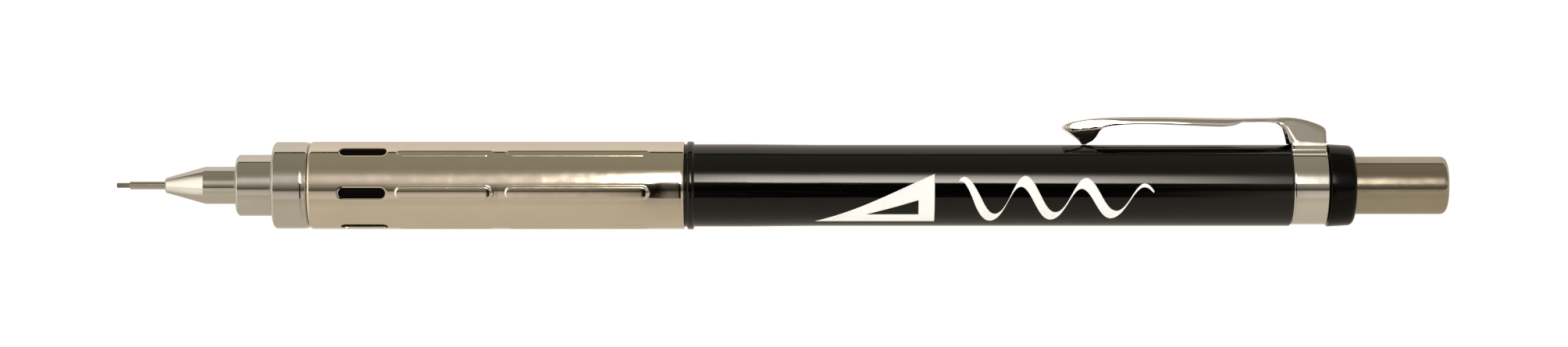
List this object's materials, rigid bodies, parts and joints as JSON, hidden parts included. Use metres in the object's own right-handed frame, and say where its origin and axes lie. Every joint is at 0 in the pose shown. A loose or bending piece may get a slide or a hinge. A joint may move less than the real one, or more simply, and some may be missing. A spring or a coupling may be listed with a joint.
{
  "type": "lead holder",
  "caption": "Drafting lead holder with a fixed guide pipe, stepped metal nose, ribbed metal grip, gloss barrel, pocket clip and a push cap over an eraser.",
  "frame": {"origin": "on the axis at the guide pipe's open mouth, where the lead comes out", "axes": "-X out of the guide pipe, +X along the axis to the push cap, +Z towards the pocket clip"},
  "size_m": [0.1506, 0.0102, 0.0128],
  "materials": {
    "graphite": "graphite and polymer lead, dull sheen",
    "pipe_steel": "drawn stainless tube",
    "nose_chrome": "turned brass, bright plated",
    "grip_nickel": "pressed sheet, satin nickel plate",
    "cap_nickel": "drawn shell, brushed nickel plate",
    "clip_chrome": "sprung steel, bright plated",
    "black_gloss": "moulded and polished black",
    "black_liner": "moulded black",
    "tube_plastic": "extruded dark plastic",
    "coupler_plastic": "moulded natural acetal",
    "brass": "turned brass",
    "spring_steel": "bright spring wire",
    "retainer_rubber": "black rubber",
    "eraser_white": "white vinyl eraser",
    "ferrule_aluminium": "drawn aluminium"
  },
  "bodies": {
    "barrel": {"barrel": "black_gloss", "grip_liner": "black_liner", "grip": "grip_nickel", "nose": "nose_chrome", "guide_pipe": "pipe_steel", "lead_retainer": "retainer_rubber", "mechanism_sleeve": "brass", "chuck_spring": "spring_steel", "end_collar": "black_gloss", "clip_base": "clip_chrome"},
    "push_rod": {"chuck": "brass", "coupler": "coupler_plastic", "lead_tube": "tube_plastic", "spare_leads": "graphite"},
    "clutch_ring": {"clutch_ring": "brass"},
    "lead": {"lead": "graphite"},
    "push_cap": {"push_cap": "cap_nickel"},
    "eraser": {"eraser": "eraser_white", "eraser_ferrule": "ferrule_aluminium", "cleaning_pin": "spring_steel"},
    "clip_arm": {"clip_arm": "clip_chrome"}
  },
  "joints": [
    {"name": "push", "type": "slide", "parent": "barrel", "child": "push_rod", "axis": [-1, 0, 0], "range_m": [0, 0.0028], "stiffness_N_per_m": 1000, "springref_m": -0.0015, "deforming": ["chuck_spring"]},
    {"name": "ring_travel", "type": "slide", "parent": "barrel", "child": "clutch_ring", "axis": [-1, 0, 0], "range_m": [0, 0.0009]},
    {"name": "lead_feed", "type": "slide", "parent": "clutch_ring", "child": "lead", "axis": [-1, 0, 0], "range_m": [-0.0015, 0.005]},
    {"name": "cap_pull", "type": "slide", "parent": "push_rod", "child": "push_cap", "axis": [1, 0, 0], "range_m": [0, 0.03]},
    {"name": "eraser_pull", "type": "slide", "parent": "push_rod", "child": "eraser", "axis": [1, 0, 0], "range_m": [0, 0.012]},
    {"name": "clip_flex", "type": "hinge", "parent": "barrel", "child": "clip_arm", "pos_m": [0.128, 0, 0.00746], "axis": [0, 1, 0], "range_deg": [0, 6], "stiffness_Nm_per_rad": 0.66, "springref_deg": -1.72}
  ],
  "couplings": [
    {"joint": "ring_travel", "follows": "push", "ratio": 0.32},
    {"joint": "eraser_pull", "follows": "cap_pull", "ratio": 0.4}
  ]
}
